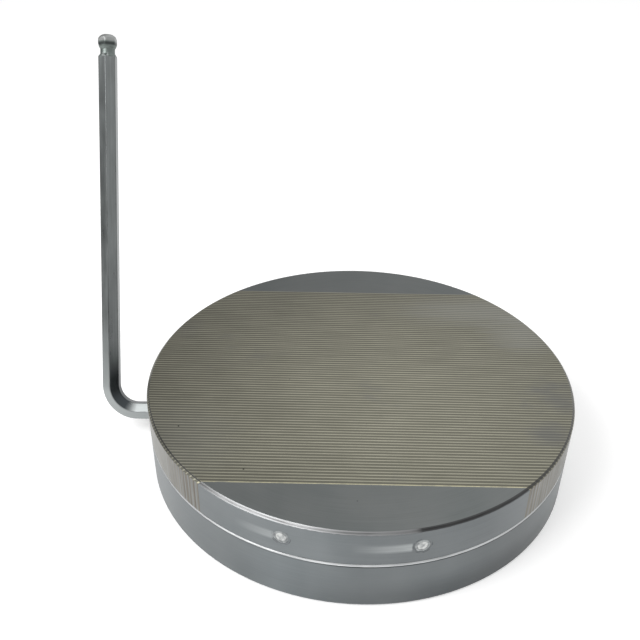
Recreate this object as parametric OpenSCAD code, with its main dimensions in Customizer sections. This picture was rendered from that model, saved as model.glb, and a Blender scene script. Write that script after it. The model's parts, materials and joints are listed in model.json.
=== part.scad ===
// Round permanent magnetic chuck with a fine-pole laminated top plate,
// a sliding magnet pack driven by an eccentric shaft, and its hex key.
// Origin: centre of the underside. +Z up. The laminations run along X.

/* [Body] */
// Outside diameter of the chuck
chuck_d = 250; // [200:5:320]
// Thickness of the laminated top plate
plate_h = 22; // [18:0.5:32]
// Height of the base housing under the top plate
base_h = 30; // [27:0.5:42]
// Width of the base's outer rim
rim_w = 25; // [20:0.5:32]
// Thickness of the base's floor
floor_t = 8; // [7:0.5:10]

/* [Edges] */
// Chamfer round the work face
top_edge = 1.5; // [0.5:0.1:3]
// Chamfer of the base at the seam
seam_edge = 1; // [0.3:0.1:2]
// Chamfer of the top plate at the seam
plate_edge = 0.3; // [0.1:0.1:1]
// Chamfer round the underside
foot_edge = 0.8; // [0.3:0.1:2]

/* [Pole plate] */
// Thickness of a steel lamination
steel_t = 1.5; // [1:0.1:3]
// Thickness of a brass lamination with its bond
brass_t = 0.7; // [0.4:0.1:1.5]
// Least depth of a plain steel segment, from rim to chord
segment_w = 32; // [26:0.5:45]
// Place along X of the left tie rod
rod_left_x = -40.5; // [-55:0.5:-20]
// Place along X of the right tie rod
rod_right_x = 28; // [15:0.5:55]
// Diameter of a tie rod
rod_d = 5.4; // [4:0.1:8]
// Wall of a tie-rod collar
collar_wall = 1.3; // [1:0.1:2]
// Depth of a tie-rod collar's seat, measured on the rod's axis
collar_seat = 7; // [5:0.5:10]

/* [Plate fasteners] */
// Thread diameter of the plate screws
screw_d = 6; // [4:1:8]
// Depth of the plate screws and dowels inside the top plate
screw_bite = 6.8; // [5:0.2:12]
// Diameter of the plate dowels
dowel_d = 6; // [4:1:8]
// Length of the plate dowels
dowel_l = 20; // [16:1:28]
// Width of the plate seal ring
seal_w = 2.4; // [1.8:0.1:3]

/* [Mounting] */
// Diameter of the locating bore in the underside
register_d = 25; // [20:0.5:32]
// Depth of the locating bore
register_depth = 5; // [3:0.5:5.5]
// Thread diameter of the mounting holes
mount_d = 8; // [6:1:10]
// Depth of the mounting holes
mount_depth = 16; // [12:1:20]

/* [Drive shaft] */
// Diameter of the operating shaft
shaft_d = 12; // [10:0.5:14.5]
// Offset of the shaft from the centre plane, along Y
shaft_y = 6; // [-10:0.5:10]
// Lean of the key's long arm from upright, towards +Y
lever_rest = 26.5; // [-80:0.5:80]
// Least wall between the hex socket's corners and the shaft head's surface
head_wall = 2.7; // [2:0.1:3.2]
// Wall of the front bush
front_bush_wall = 2; // [1.5:0.1:2.5]
// Wall of the rear bush
rear_bush_wall = 2; // [1.5:0.1:3]
// Length of the rear bush
rear_bush_l = 12; // [8:0.5:14]
// Distance of each drive block from the centre, along X
drive_x = 45; // [35:1:55]
// Thickness of a drive block along the shaft
block_l = 12; // [8:0.5:16]
// Diameter of the stop pin
stop_pin_d = 4; // [3:0.5:4]

/* [Magnet pack] */
// Thickness of a pole bar in the pack
bar_t = 1.2; // [0.8:0.1:1.6]
// Wall of the carrier's tray round the pack
tray_wall = 6; // [4:0.5:8]
// Width of a clamping rail at the middle
rail_w = 11; // [9:0.5:14]
// Thickness of the slide strips
strip_t = 1; // [0.6:0.1:1.4]
// Width of the guide keys
guide_w = 10; // [8:0.5:14]

/* [Hex key] */
// Size of the key across its flats
key_af = 10; // [8:0.5:12]
// Overall length of the key's long arm
key_long = 232.5; // [170:0.5:280]
// Overall length of the key's short arm
key_short = 50; // [46:1:65]
// Radius of the bend at the middle of the bar
bend_r = 16.5; // [12:0.5:22]
// Depth of the key's short arm inside the rim
key_insert = 16.2; // [10:0.1:18]

/* [Hidden] */
$fn = 96;

// Clearances and allowances
cut = 1;              // how far a cutting shape runs past the face it cuts
fit_gap = 0.03;       // radial running clearance of the shaft in its bushes
slide_gap = 0.05;     // clearance under the carrier and beside its guide keys
air_gap = 0.2;        // clearance between the magnet pack and the top plate
slot_gap = 0.2;       // clearance each side of an eccentric journal in its slot
part_gap = 0.5;       // clearance between moving pieces that never touch
rod_gap = 0.1;        // radial clearance of the tie rods in the laminations
socket_gap = 0.05;    // clearance of each flat of the key in the socket
hole_gap = 0.3;       // radial clearance of the plate screws in the base
head_gap = 0.5;       // radial clearance of the plate screws' heads
seal_gap = 0.1;       // clearance each side of the plate seal in its groove
clip_gap = 0.05;      // clearance each side of the circlip in its groove
thread_room = 1.2;    // depth left in a blind hole beyond what it takes

// Top plate and its tie rods
radius = chuck_d / 2;
total_h = base_h + plate_h;
pitch = steel_t + brass_t;
half_count = floor((radius - segment_w - brass_t / 2) / pitch);
chord = half_count * pitch + brass_t / 2;
rod_z = base_h + plate_h / 2;
rod_places = [rod_left_x, rod_right_x];
collar_d = rod_d + 2 * collar_wall;

// Plate fasteners and seal
cavity_r = radius - rim_w;
bolt_r = radius - rim_w / 2;
screw_head_d = screw_d + 4;
screw_head_h = screw_d;
screw_recess = 0.8;   // depth of the plate screws' heads under the base
screw_base_z = screw_recess + screw_head_h;
screw_l = base_h - screw_base_z + screw_bite;
screw_chord_gap = 5;  // from the last lamination to the nearest plate screw
screw_spread = 90 - asin((chord + screw_d / 2 + screw_chord_gap) / bolt_r);
screw_angles = [for (side = [90, 270]) for (step = [-1, 0, 1]) side + step * screw_spread];
// Both dowels stand left of the centre, so the plate goes on only one way round
dowel_angles = [90 + screw_spread / 2, 270 - screw_spread / 2];
dowel_z = base_h + screw_bite - dowel_l;
mount_angles = [45, 135, 225, 315];
seal_land = 1.8;      // rim between the cavity and the seal groove
seal_h = 1.6;
seal_r = cavity_r + seal_land + seal_w / 2;

// Operating shaft, measured from the centre along X
shaft_lift = 2;       // from the base's floor to the underside of the shaft
shaft_z = floor_t + shaft_lift + shaft_d / 2;
throw = pitch / 4;
pack_shift = throw * lever_rest / 90;
journal_cut = 0.95;   // how far a journal lies inside the shaft's surface, at least
journal_d = shaft_d - 2 * (throw + journal_cut);
journal_l = block_l + 2;
hex_d = key_af / cos(30);
socket_d = (key_af + 2 * socket_gap) / cos(30);
head_d = ceil(hex_d + 2 * head_wall);
head_recess = 0.8;    // depth of the shaft head and front bush inside the rim
head_x = radius - head_recess;
head_step = 2.5;      // width of the front bush's inner flange
shoulder_x = cavity_r + head_step;
shoulder_gap = 0.2;   // end clearance behind the shaft head
tail_x = cavity_r + rear_bush_l - part_gap;
bush_overcut = 5;     // how far the bush bores run on into the cavity
front_bush_d = head_d + 2 * front_bush_wall;
rear_bush_d = shaft_d + 2 * rear_bush_wall;

// Shaft seal, circlip and stop
seal_groove_w = 2.5;
seal_groove_depth = 1.8;
seal_groove_d = head_d - 2 * seal_groove_depth;
seal_shoulder = 1.4;  // steel between the shoulder and the seal groove
seal_groove_x = shoulder_x + seal_shoulder;
shaft_seal_r = 0.85;
socket_floor = 1.3;   // steel between the seal groove and the end of the hex socket
socket_end_x = seal_groove_x + seal_groove_w + socket_floor;
clip_t = 1;
clip_over = 2.75;     // how far the circlip stands out from the shaft
clip_depth = 0.4;     // depth of the circlip's groove
clip_mouth = 3;       // opening between the circlip's ends
clip_x = cavity_r - 2 * clip_gap;
clip_d = shaft_d + 2 * clip_over;
clip_groove_d = shaft_d - 2 * clip_depth;

// Magnet pack
carrier_r = cavity_r - 3;
carrier_z = floor_t + strip_t + slide_gap;
channel_top = shaft_z + shaft_d / 2 + part_gap;
channel_w = shaft_d + 2 * (throw + part_gap + slot_gap);
web_t = 1.5;          // least thickness of the carrier over the shaft's channel
web_top = channel_top + web_t;
pack_top = base_h - air_gap;
tray_drop = 0.3;      // from the pack's top to the top of the carrier's tray
carrier_top = pack_top - tray_drop;
pack_r = carrier_r - tray_wall;
pack_half_x = pack_r - 11;
carrier_half_x = pack_half_x + 4;
magnet_t = pitch - bar_t;
pack_half_count = floor((pack_r - rail_w) / pitch);
rail_y = pack_half_count * pitch - magnet_t / 2;

// Small screws inside the pack and the base
small_d = 4;
small_head_d = 7;
small_head_gap = 0.25;
rail_screw_x = 20;
rail_screw_y = rail_y + 4.5;
rail_hole_top = pack_top - 1.5;
rail_head_z = carrier_z + small_d + part_gap;
rail_screw_l = rail_hole_top - thread_room - rail_head_z;

// Stop pin and its posts
stop_x = -(carrier_half_x + cavity_r) / 2;
stop_pin_l = shaft_d / 2 + 4;
stop_pin_inset = 0.3; // from the shaft's far surface to the pin's hidden end
stop_post_d = 5;
stop_post_y = shaft_d / 2 + stop_post_d / 2;
stop_post_z = shaft_z - stop_pin_d / 2 - 0.05;
stop_post_seat = 5;

// Drive blocks
block_w = 26;
flange_w = 46;
flange_h = 5;
block_z = carrier_z + part_gap;
slot_w = journal_d + 2 * slot_gap;
slot_top = shaft_z + throw + journal_d / 2 + slot_gap;
block_screw_seat = 3; // height of the screws' seats inside the flanges
block_screw_head_h = 2.6;
block_screw_l = 9;
block_screw_y = (block_w + flange_w) / 4;

// Guide keys and slide strips
guide_seat = 1;
guide_h = 4.5;
guide_play = 2;       // room for the carrier at each end of a guide key
guide_near = channel_w / 2 + 14;
guide_far = carrier_r - 18;
guide_front = [-guide_far, shaft_y - guide_near];
guide_rear = [shaft_y + guide_near, guide_far];
guide_screw_l = 6;
guide_screw_places = [0.2, 0.8];
strip_w = 12;
strip_x = carrier_half_x - 8 - strip_w / 2;
strip_near = 18;
strip_far = sqrt(pow(carrier_r - 2, 2) - pow(strip_x + strip_w / 2, 2));

// Hex key, measured from the corner where its two arms' axes cross
key_corner_x = -(radius - key_insert) - key_short + key_af / 2;
ball_r = hex_d / 2;
ball_tip = 0.8 * ball_r;
neck_r = 0.745 * ball_r;
neck_drop = 7.5;      // from the ball's centre down to the end of the neck
neck_end = 10.2;      // from the ball's centre down to the full hexagon
corner_room = 0.5;    // how far the neck's cone starts outside the hexagon's corners
key_ball_z = key_long - key_af / 2 - ball_tip;

// ---- shared shapes ----

// A turned disc with a chamfer at each edge
module turned_disc(d, low, high, low_edge, high_edge) {
    rotate_extrude()
        polygon([[0, low], [d / 2 - low_edge, low], [d / 2, low + low_edge],
            [d / 2, high - high_edge], [d / 2 - high_edge, high], [0, high]]);
}

// A cylinder lying along X, from x = near to x = far
module bar_x(d, near, far) {
    translate([near, 0, 0]) rotate([0, 90, 0]) cylinder(d = d, h = far - near);
}

// A box given by its lowest and highest corners
module span_box(low, high) {
    translate(low) cube(high - low);
}

// A hexagonal prism along Z with two flats square to X
module hex_prism(across, h) {
    rotate(30) cylinder(d = across, h = h, $fn = 6);
}

module on_bolt_circle(angles) {
    for (a = angles) rotate(a) translate([bolt_r, 0, 0]) children();
}

module on_shaft_axis() {
    translate([0, shaft_y, shaft_z]) rotate([-lever_rest, 0, 0]) children();
}

// A small socket-head screw, head down, with its shank rising from z = 0
module screw_up(d, head_d, head_h, l) {
    difference() {
        union() {
            cylinder(d = d, h = l);
            translate([0, 0, -head_h]) cylinder(d = head_d, h = head_h);
        }
        translate([0, 0, -head_h - cut]) cylinder(d = 0.9 * d, h = 0.5 * head_h + cut, $fn = 6);
    }
}

// The solid top plate before it is split into segments and laminations
module plate_blank() {
    turned_disc(chuck_d, base_h, total_h, plate_edge, top_edge);
}

// Cylinders along Y at the tie rods' places
module rod_bars(d) {
    for (x = rod_places) translate([x, radius + cut, rod_z]) rotate([90, 0, 0])
        cylinder(d = d, h = chuck_d + 2 * cut);
}

// Sleeves round the rods at one end, from the seat outwards
module collar_bars(d, side) {
    for (x = rod_places) {
        seat = sqrt(radius * radius - x * x) - collar_seat;
        translate([x, side * seat, rod_z]) rotate([-side * 90, 0, 0]) cylinder(d = d, h = collar_seat + 5);
    }
}

// ---- top plate ----

module pole_segment(side) {
    difference() {
        intersection() {
            plate_blank();
            translate([-chuck_d, side > 0 ? chord : -chord - chuck_d, 0])
                cube([2 * chuck_d, chuck_d, chuck_d]);
        }
        rod_bars(rod_d + 2 * rod_gap);
        collar_bars(collar_d, side);
        on_bolt_circle(screw_angles)
            cylinder(d = screw_d, h = screw_base_z + screw_l + thread_room);
        on_bolt_circle(dowel_angles) cylinder(d = dowel_d, h = dowel_z + dowel_l + thread_room);
    }
}

module pole_segment_front() {
    color("slategray") pole_segment(-1);
}

module pole_segment_rear() {
    color("slategray") pole_segment(1);
}

// Laminations of one thickness, centred at the given places along Y
module laminations(places, thick) {
    difference() {
        intersection() {
            plate_blank();
            for (y = places) translate([-chuck_d, y - thick / 2, 0]) cube([2 * chuck_d, thick, chuck_d]);
        }
        rod_bars(rod_d + 2 * rod_gap);
    }
}

module steel_laminations() {
    color("dimgray") laminations([for (i = [-half_count:half_count - 1]) (i + 0.5) * pitch], steel_t);
}

module brass_laminations() {
    color("darkkhaki") laminations([for (i = [-half_count:half_count]) i * pitch], brass_t);
}

module tie_rods() {
    color("lightgray") intersection() {
        rod_bars(rod_d);
        cylinder(d = chuck_d, h = total_h);
    }
}

module tie_rod_collars() {
    color("gray") difference() {
        intersection() {
            for (side = [-1, 1]) collar_bars(collar_d, side);
            cylinder(d = chuck_d, h = total_h);
        }
        rod_bars(rod_d);
    }
}

module plate_screws() {
    color("dimgray") on_bolt_circle(screw_angles) translate([0, 0, screw_base_z])
        screw_up(screw_d, screw_head_d, screw_head_h, screw_l);
}

module plate_dowels() {
    color("silver") on_bolt_circle(dowel_angles) translate([0, 0, dowel_z])
        cylinder(d = dowel_d, h = dowel_l);
}

// A ring of square section
module flat_ring(middle_r, w, low, high) {
    difference() {
        translate([0, 0, low]) cylinder(r = middle_r + w / 2, h = high - low);
        translate([0, 0, low - cut]) cylinder(r = middle_r - w / 2, h = high - low + 2 * cut);
    }
}

module plate_seal() {
    color("black") flat_ring(seal_r, seal_w, base_h - seal_h, base_h);
}

// ---- base ----

module guide_screw_axes() {
    for (span = [guide_front, guide_rear]) for (t = guide_screw_places)
        translate([0, span[0] + t * (span[1] - span[0]), 0]) children();
}

module base_housing() {
    color("gray") difference() {
        turned_disc(chuck_d, 0, base_h, foot_edge, seam_edge);
        translate([0, 0, floor_t]) cylinder(r = cavity_r, h = base_h);
        flat_ring(seal_r, seal_w + 2 * seal_gap, base_h - seal_h, base_h + cut);
        translate([0, 0, -cut]) cylinder(d = register_d, h = register_depth + cut);
        translate([0, shaft_y, shaft_z]) {
            bar_x(front_bush_d, -radius - cut, -cavity_r + bush_overcut);
            bar_x(rear_bush_d, cavity_r - bush_overcut, cavity_r + rear_bush_l);
        }
        on_bolt_circle(screw_angles) {
            translate([0, 0, -cut]) cylinder(d = screw_d + 2 * hole_gap, h = base_h + 2 * cut);
            translate([0, 0, -cut])
                cylinder(d = screw_head_d + 2 * head_gap, h = screw_base_z + cut);
        }
        on_bolt_circle(dowel_angles) translate([0, 0, dowel_z]) cylinder(d = dowel_d, h = dowel_l);
        on_bolt_circle(mount_angles) translate([0, 0, -cut]) cylinder(d = mount_d, h = mount_depth + cut);
        for (span = [guide_front, guide_rear])
            span_box([-guide_w / 2, span[0], floor_t - guide_seat], [guide_w / 2, span[1], floor_t + cut]);
        guide_screw_axes() translate([0, 0, floor_t - guide_screw_l])
            cylinder(d = small_d, h = guide_screw_l + cut);
        for (side = [-1, 1]) translate([stop_x, shaft_y + side * stop_post_y, floor_t - stop_post_seat])
            cylinder(d = stop_post_d, h = stop_post_seat + cut);
    }
}

module slide_strips() {
    color("goldenrod") for (side = [-1, 1]) {
        x = side * strip_x;
        for (span = [[-strip_far, shaft_y - strip_near], [shaft_y + strip_near, strip_far]])
            span_box([x - strip_w / 2, span[0], floor_t], [x + strip_w / 2, span[1], floor_t + strip_t]);
    }
}

module guide_keys() {
    color("goldenrod") difference() {
        for (span = [guide_front, guide_rear])
            span_box([-guide_w / 2, span[0], floor_t - guide_seat],
                [guide_w / 2, span[1], floor_t + guide_h]);
        guide_screw_axes() {
            cylinder(d = small_d, h = base_h);
            translate([0, 0, floor_t]) cylinder(d = small_head_d, h = base_h);
        }
    }
}

module guide_key_screws() {
    color("dimgray") guide_screw_axes() translate([0, 0, floor_t]) rotate([180, 0, 0])
        screw_up(small_d, small_head_d, small_d, guide_screw_l - part_gap);
}

module front_bush() {
    color("peru") translate([0, shaft_y, shaft_z]) difference() {
        bar_x(front_bush_d, -head_x, -cavity_r);
        bar_x(head_d + 2 * fit_gap, -head_x - cut, -shoulder_x + shoulder_gap);
        bar_x(shaft_d + 2 * fit_gap, -shoulder_x - cut, -cavity_r + cut);
    }
}

module rear_bush() {
    color("peru") translate([0, shaft_y, shaft_z]) difference() {
        bar_x(rear_bush_d, cavity_r, cavity_r + rear_bush_l);
        bar_x(shaft_d + 2 * fit_gap, cavity_r - cut, cavity_r + rear_bush_l + cut);
    }
}

module stop_posts() {
    color("silver") for (side = [-1, 1])
        translate([stop_x, shaft_y + side * stop_post_y, floor_t - stop_post_seat])
            cylinder(d = stop_post_d, h = stop_post_z - floor_t + stop_post_seat);
}

// ---- shaft ----

module operating_shaft() {
    color("silver") on_shaft_axis() difference() {
        union() {
            bar_x(head_d, -head_x, -shoulder_x);
            bar_x(shaft_d, -shoulder_x, -drive_x - journal_l / 2);
            bar_x(shaft_d, -drive_x + journal_l / 2, drive_x - journal_l / 2);
            bar_x(shaft_d, drive_x + journal_l / 2, tail_x);
            for (side = [-1, 1]) translate([0, 0, throw])
                bar_x(journal_d, side * drive_x - journal_l / 2, side * drive_x + journal_l / 2);
        }
        translate([-head_x - cut, 0, 0]) rotate([0, 90, 0]) hex_prism(socket_d, head_x - socket_end_x + cut);
        difference() {
            bar_x(head_d + cut, -seal_groove_x - seal_groove_w, -seal_groove_x);
            bar_x(seal_groove_d, -seal_groove_x - seal_groove_w - cut, -seal_groove_x + cut);
        }
        difference() {
            bar_x(shaft_d + cut, -clip_x - clip_gap, -clip_x + clip_t + clip_gap);
            bar_x(clip_groove_d, -clip_x - cut, -clip_x + clip_t + cut);
        }
        translate([stop_x, 0, -shaft_d]) cylinder(d = stop_pin_d, h = 2 * shaft_d);
    }
}

module shaft_seal() {
    color("black") on_shaft_axis() translate([-seal_groove_x - seal_groove_w / 2, 0, 0]) rotate([0, 90, 0])
        rotate_extrude() translate([seal_groove_d / 2 + shaft_seal_r, 0]) circle(r = shaft_seal_r);
}

module shaft_circlip() {
    color("dimgray") on_shaft_axis() difference() {
        bar_x(clip_d, -clip_x, -clip_x + clip_t);
        bar_x(clip_groove_d, -clip_x - cut, -clip_x + clip_t + cut);
        span_box([-clip_x - cut, -clip_mouth / 2, -clip_d], [-clip_x + clip_t + cut, clip_mouth / 2, 0]);
    }
}

module stop_pin() {
    color("silver") on_shaft_axis() translate([stop_x, 0, stop_pin_inset - shaft_d / 2])
        cylinder(d = stop_pin_d, h = shaft_d / 2 - stop_pin_inset + stop_pin_l);
}

// ---- magnet pack ----

module in_pack() {
    translate([0, pack_shift, 0]) children();
}

// A disc with both ends cut off square to X
module cut_disc(r, half_x, low, high) {
    intersection() {
        translate([0, 0, low]) cylinder(r = r, h = high - low);
        span_box([-half_x, -2 * r, low - cut], [half_x, 2 * r, high + cut]);
    }
}

module rail_screw_axes() {
    for (side_x = [-1, 1]) for (side_y = [-1, 1])
        translate([side_x * rail_screw_x, side_y * rail_screw_y, 0]) children();
}

module block_screw_axes() {
    for (side_x = [-1, 1]) for (side_y = [-1, 1])
        translate([side_x * drive_x, shaft_y + side_y * block_screw_y, 0]) children();
}

// The outside of the drive blocks, which is also the shape of their pockets
module block_shapes(low) {
    for (side = [-1, 1]) translate([side * drive_x, shaft_y, 0]) {
        span_box([-block_l / 2, -block_w / 2, low], [block_l / 2, block_w / 2, channel_top]);
        span_box([-block_l / 2, -flange_w / 2, low], [block_l / 2, flange_w / 2, block_z + flange_h]);
    }
}

module magnet_carrier() {
    color("lightsteelblue") in_pack() difference() {
        cut_disc(carrier_r, carrier_half_x, carrier_z, carrier_top);
        cut_disc(pack_r, pack_half_x, web_top, base_h);
        span_box([-radius, shaft_y - channel_w / 2, 0], [radius, shaft_y + channel_w / 2, channel_top]);
        block_shapes(carrier_z - cut);
        block_screw_axes()
            cylinder(d = small_d, h = block_z + block_screw_seat + block_screw_l + thread_room);
        for (span = [guide_front, guide_rear])
            span_box([-guide_w / 2 - slide_gap, span[0] - guide_play, 0],
                [guide_w / 2 + slide_gap, span[1] + guide_play, floor_t + guide_h + part_gap]);
        rail_screw_axes() {
            cylinder(d = small_d, h = base_h);
            translate([0, 0, rail_head_z - base_h])
                cylinder(d = small_head_d + 2 * small_head_gap, h = base_h);
        }
    }
}

module pack_slabs(places, thick) {
    intersection() {
        cut_disc(pack_r, pack_half_x, web_top, pack_top);
        for (y = places) span_box([-radius, y - thick / 2, 0], [radius, y + thick / 2, base_h]);
    }
}

module pack_pole_bars() {
    color("dimgray") in_pack()
        pack_slabs([for (i = [-pack_half_count:pack_half_count - 1]) (i + 0.5) * pitch - throw], bar_t);
}

module pack_magnets() {
    color("darkslategray") in_pack()
        pack_slabs([for (i = [1 - pack_half_count:pack_half_count - 1]) i * pitch - throw], magnet_t);
}

module pack_rails() {
    color("burlywood") in_pack() difference() {
        cut_disc(pack_r, pack_half_x, web_top, pack_top);
        span_box([-radius, -rail_y - throw, 0], [radius, rail_y - throw, base_h]);
        rail_screw_axes() cylinder(d = small_d, h = rail_hole_top);
    }
}

module rail_screws() {
    color("dimgray") in_pack() rail_screw_axes() translate([0, 0, rail_head_z])
        screw_up(small_d, small_head_d, small_d, rail_screw_l);
}

module drive_blocks() {
    color("peru") in_pack() difference() {
        block_shapes(block_z);
        span_box([-radius, shaft_y - slot_w / 2, 0], [radius, shaft_y + slot_w / 2, slot_top]);
        block_screw_axes() {
            cylinder(d = small_d, h = base_h);
            cylinder(d = small_head_d, h = block_z + block_screw_seat);
        }
    }
}

module drive_block_screws() {
    color("dimgray") in_pack() block_screw_axes() translate([0, 0, block_z + block_screw_seat])
        screw_up(small_d, small_head_d, block_screw_head_h, block_screw_l);
}

// ---- key ----

// Local axes: the short arm lies along X, the long arm rises along Z from the corner
module hex_key() {
    color("lightslategray") on_shaft_axis() translate([key_corner_x, 0, 0]) {
        translate([bend_r, 0, 0]) rotate([0, 90, 0]) hex_prism(hex_d, key_short - key_af / 2 - bend_r);
        translate([bend_r, 0, bend_r]) rotate([90, 0, 0]) rotate(180) rotate_extrude(angle = 90)
            translate([bend_r, 0]) rotate(30) circle(d = hex_d, $fn = 6);
        intersection() {
            translate([0, 0, bend_r]) hex_prism(hex_d, key_ball_z + ball_tip - bend_r);
            union() {
                translate([0, 0, key_ball_z]) sphere(r = ball_r);
                translate([0, 0, key_ball_z - neck_drop]) cylinder(r = neck_r, h = neck_drop);
                translate([0, 0, key_ball_z - neck_end])
                    cylinder(r1 = ball_r + corner_room, r2 = neck_r, h = neck_end - neck_drop);
                translate([0, 0, bend_r - cut])
                    cylinder(r = ball_r + corner_room, h = key_ball_z - neck_end - bend_r + cut);
            }
        }
    }
}

pole_segment_front();
pole_segment_rear();
steel_laminations();
brass_laminations();
tie_rods();
tie_rod_collars();
plate_screws();
plate_dowels();
plate_seal();
base_housing();
slide_strips();
guide_keys();
guide_key_screws();
front_bush();
rear_bush();
stop_posts();
operating_shaft();
shaft_seal();
shaft_circlip();
stop_pin();
magnet_carrier();
pack_pole_bars();
pack_magnets();
pack_rails();
rail_screws();
drive_blocks();
drive_block_screws();
hex_key();
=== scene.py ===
import json
import math

import bpy
import numpy as np
from mathutils import Matrix, Vector


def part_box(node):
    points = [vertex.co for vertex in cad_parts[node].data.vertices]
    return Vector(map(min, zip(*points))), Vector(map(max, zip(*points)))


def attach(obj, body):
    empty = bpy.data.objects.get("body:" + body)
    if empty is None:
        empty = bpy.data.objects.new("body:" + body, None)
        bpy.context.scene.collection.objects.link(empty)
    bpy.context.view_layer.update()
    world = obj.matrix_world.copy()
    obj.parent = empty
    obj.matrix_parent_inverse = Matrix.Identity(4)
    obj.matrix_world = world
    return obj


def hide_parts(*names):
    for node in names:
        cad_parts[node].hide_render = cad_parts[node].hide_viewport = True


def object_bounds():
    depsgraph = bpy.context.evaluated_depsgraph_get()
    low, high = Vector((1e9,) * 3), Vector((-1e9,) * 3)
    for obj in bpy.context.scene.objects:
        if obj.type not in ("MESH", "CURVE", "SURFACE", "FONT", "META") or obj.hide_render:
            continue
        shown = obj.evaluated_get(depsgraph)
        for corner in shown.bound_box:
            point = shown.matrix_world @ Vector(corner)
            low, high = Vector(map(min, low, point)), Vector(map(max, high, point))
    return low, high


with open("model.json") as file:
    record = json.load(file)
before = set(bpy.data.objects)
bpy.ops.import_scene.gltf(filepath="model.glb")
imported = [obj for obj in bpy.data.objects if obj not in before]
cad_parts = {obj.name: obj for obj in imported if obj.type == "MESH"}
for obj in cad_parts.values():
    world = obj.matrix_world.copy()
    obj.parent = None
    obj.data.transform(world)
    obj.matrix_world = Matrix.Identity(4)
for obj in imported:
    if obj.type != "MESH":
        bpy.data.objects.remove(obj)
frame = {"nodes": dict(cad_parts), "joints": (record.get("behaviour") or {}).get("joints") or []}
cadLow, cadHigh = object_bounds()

scene = bpy.context.scene
nodes = frame["nodes"]
mm = 0.001
wideRange = (0.3, 0.7)      # the span of a noise value that makes a soft change
midRange = (0.35, 0.65)    # a narrower span, for a clearer change

# What the CAD model says about itself: the places that the looks are tied to
plateLow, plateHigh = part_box("pole_segment_front")
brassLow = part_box("brass_laminations")[0]
keyLow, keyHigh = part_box("hex_key")
rodLow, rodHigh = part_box("tie_rods")
collarLow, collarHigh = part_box("tie_rod_collars")
discRadius = cadHigh.x
topZ = plateHigh.z
seamZ = plateLow.z
chordY = -brassLow.y
shaftJoint = next(joint for joint in frame["joints"] if joint["name"] == "shaft_turn")
shaftY, shaftZ = shaftJoint["pos_m"][1], shaftJoint["pos_m"][2]
rodRadius = (rodHigh.z - rodLow.z) / 2
rodPlaces = (rodLow.x + rodRadius, rodHigh.x - rodRadius)   # of the two tie rods along X
rodZ = (rodLow.z + rodHigh.z) / 2
print("frame read: disc radius", round(discRadius, 4), "top", round(topZ, 4))


# Adds a shader node; values are numbers, colours or sockets to link, by input name or place
def add(tree, kind, values=None, **settings):
    made = tree.nodes.new(kind)
    for name, value in settings.items():
        setattr(made, name, value)
    for name, value in (values or {}).items():
        if isinstance(value, bpy.types.NodeSocket):
            tree.links.new(value, made.inputs[name])
        else:
            made.inputs[name].default_value = value
    return made


def calc(tree, operation, first, second=0.0, third=0.0):
    values = {0: first, 1: second, 2: third}
    return add(tree, "ShaderNodeMath", values, operation=operation).outputs[0]


# Straight change of range: low..high becomes start..end, held at both ends
def remap(tree, value, low, high, start=0.0, end=1.0):
    values = {"Value": value, "From Min": low, "From Max": high, "To Min": start, "To Max": end}
    return add(tree, "ShaderNodeMapRange", values, clamp=True).outputs["Result"]


def mixColour(tree, amount, first, second, mode="MIX"):
    made = add(tree, "ShaderNodeMix", data_type="RGBA", blend_type=mode, clamp_factor=True)
    for place, value in ((0, amount), (6, first), (7, second)):
        if isinstance(value, bpy.types.NodeSocket):
            tree.links.new(value, made.inputs[place])
        elif place:
            made.inputs[place].default_value = (*value, 1)
        else:
            made.inputs[place].default_value = value
    return made.outputs[2]


def noise(tree, vector, scale=1.0, detail=3.0, roughness=0.5, distortion=0.0):
    values = {"Vector": vector, "Scale": scale, "Detail": detail, "Roughness": roughness,
              "Distortion": distortion}
    return add(tree, "ShaderNodeTexNoise", values).outputs["Fac"]


def lengthOf(tree, first, second):
    flat = add(tree, "ShaderNodeCombineXYZ", {0: first, 1: second}).outputs[0]
    return add(tree, "ShaderNodeVectorMath", {0: flat}, operation="LENGTH").outputs["Value"]


# The Object coordinates, each on its own, the distance from the chuck's axis, and the angle round
# that axis in degrees: 0 at the front (-Y), growing towards +X
def placeOf(tree):
    point = add(tree, "ShaderNodeTexCoord").outputs["Object"]
    x, y, z = add(tree, "ShaderNodeSeparateXYZ", {0: point}).outputs
    reach = lengthOf(tree, x, y)
    turn = calc(tree, "ARCTAN2", x, calc(tree, "MULTIPLY", y, -1.0))
    angle = calc(tree, "MULTIPLY", turn, 180 / math.pi)
    return {"point": point, "x": x, "y": y, "z": z, "reach": reach, "angle": angle}


# A grey level read from a list of (value, level), straight between them
def ramp(tree, value, stops):
    low, high = stops[0][0], stops[-1][0]
    made = add(tree, "ShaderNodeValToRGB", {0: remap(tree, value, low, high)})
    elements = made.color_ramp.elements
    elements[0].color = (stops[0][1],) * 3 + (1,)
    elements[1].color = (stops[-1][1],) * 3 + (1,)
    for place, level in stops[1:-1]:
        elements.new((place - low) / (high - low)).color = (level, level, level, 1)
    return made.outputs["Color"]


def multiplied(tree, colour, factor):
    return mixColour(tree, 1.0, colour, factor, "MULTIPLY")


def darken(tree, colour, amount):
    return mixColour(tree, amount, colour, (0.0, 0.0, 0.0))


# A coordinate stretched by its own factor along each axis
def stretched(tree, x, y, z, factors):
    scaled = [calc(tree, "MULTIPLY", value, factor) for value, factor in zip((x, y, z), factors)]
    return add(tree, "ShaderNodeCombineXYZ", dict(enumerate(scaled))).outputs[0]


# Fine rings round the axis on flat faces and on walls alike: the rings count reach plus height
def turnedLines(tree, place, along, across):
    rings = calc(tree, "ADD", place["reach"], place["z"])
    scaled = stretched(tree, place["x"], place["y"], rings, (along, along, across))
    return noise(tree, scaled, detail=4.0)


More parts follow.
